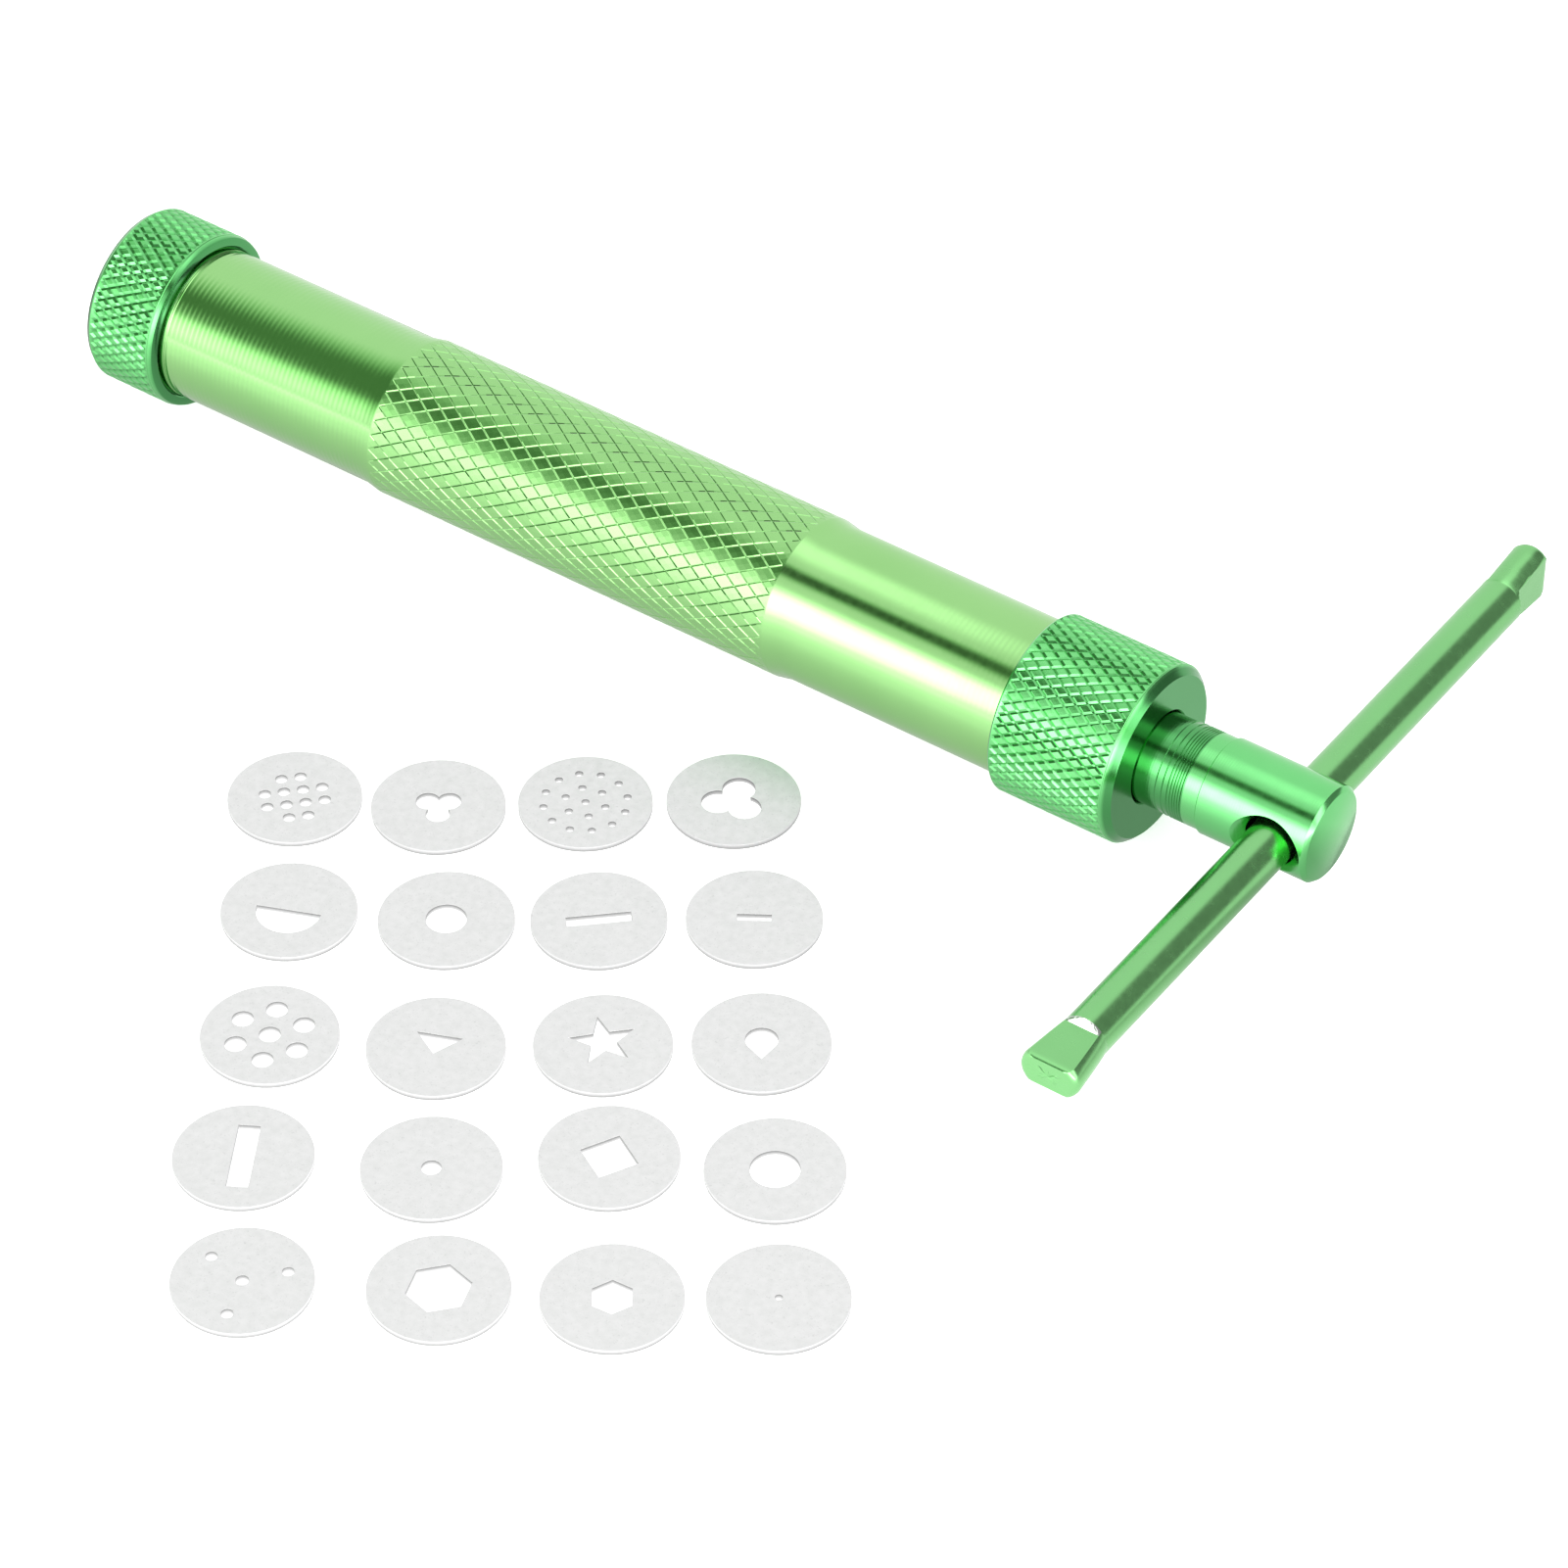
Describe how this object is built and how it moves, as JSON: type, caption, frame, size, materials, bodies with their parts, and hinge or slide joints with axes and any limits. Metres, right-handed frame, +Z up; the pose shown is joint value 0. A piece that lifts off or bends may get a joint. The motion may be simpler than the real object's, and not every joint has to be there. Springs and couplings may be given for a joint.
{
  "type": "pottery clay extruder",
  "caption": "Hand-screwed clay extruder with knurled barrel, nose cap, T-handled screw and piston, lying beside its set of round punched die discs.",
  "frame": {"origin": "on the table, under the middle of the box round the extruder and its set-out die discs", "axes": "+X along the barrel from the nozzle to the T handle, +Y across, from the die discs to the extruder, +Z up from the table"},
  "size_m": [0.2106, 0.217, 0.0274],
  "materials": {
    "green_anodised": "polished yellow-green anodised aluminium",
    "cap_green": "knurled or turned green anodised aluminium",
    "plunger_grey": "plain turned aluminium",
    "black_rubber": "matt nitrile rubber",
    "steel": "bright zinc plated steel",
    "die_steel": "tumbled stainless sheet"
  },
  "bodies": {
    "drive_screw": {"drive_screw": "cap_green", "thrust_washer": "steel", "piston_screw": "steel", "disc_twelve_holes": "die_steel", "disc_small_clover": "die_steel", "disc_nineteen_holes": "die_steel", "disc_large_clover": "die_steel", "disc_half_round": "die_steel", "disc_round_medium": "die_steel", "disc_slot_wide": "die_steel", "disc_slot_small": "die_steel", "disc_seven_holes": "die_steel", "disc_triangle": "die_steel", "disc_star": "die_steel", "disc_teardrop": "die_steel", "disc_slot_long": "die_steel", "disc_round_small": "die_steel", "disc_square": "die_steel", "disc_round_large": "die_steel", "disc_four_holes": "die_steel", "disc_hexagon_large": "die_steel", "disc_hexagon_small": "die_steel", "disc_pinhole": "die_steel"},
    "cross_bar": {"cross_bar": "green_anodised"},
    "piston": {"piston": "plunger_grey", "piston_o_ring": "black_rubber"},
    "drive_nut": {"drive_nut": "cap_green"},
    "barrel": {"barrel": "green_anodised"},
    "die_cap": {"die_cap": "cap_green"}
  },
  "joints": [
    {"name": "cross_bar_slide", "type": "slide", "parent": "drive_screw", "child": "cross_bar", "axis": [0, 1, 0], "range_m": [-0.049, 0.0447]},
    {"name": "screw_turn", "type": "hinge", "parent": "drive_screw", "child": "piston", "pos_m": [0.09885, 0.04307, 0.0137], "axis": [-1, 0, 0], "range_deg": [-1800, 27000]},
    {"name": "piston_travel", "type": "slide", "parent": "piston", "child": "drive_nut", "axis": [-1, 0, 0], "range_m": [-0.01, 0.15]},
    {"name": "plunger_out", "type": "slide", "parent": "drive_nut", "child": "barrel", "axis": [-1, 0, 0], "range_m": [0, 0.165]},
    {"name": "die_cap_off", "type": "slide", "parent": "barrel", "child": "die_cap", "axis": [-1, 0, 0], "range_m": [0, 0.025]}
  ],
  "couplings": [
    {"joint": "piston_travel", "follows": "screw_turn", "m_per_rad": 0.00031831}
  ]
}
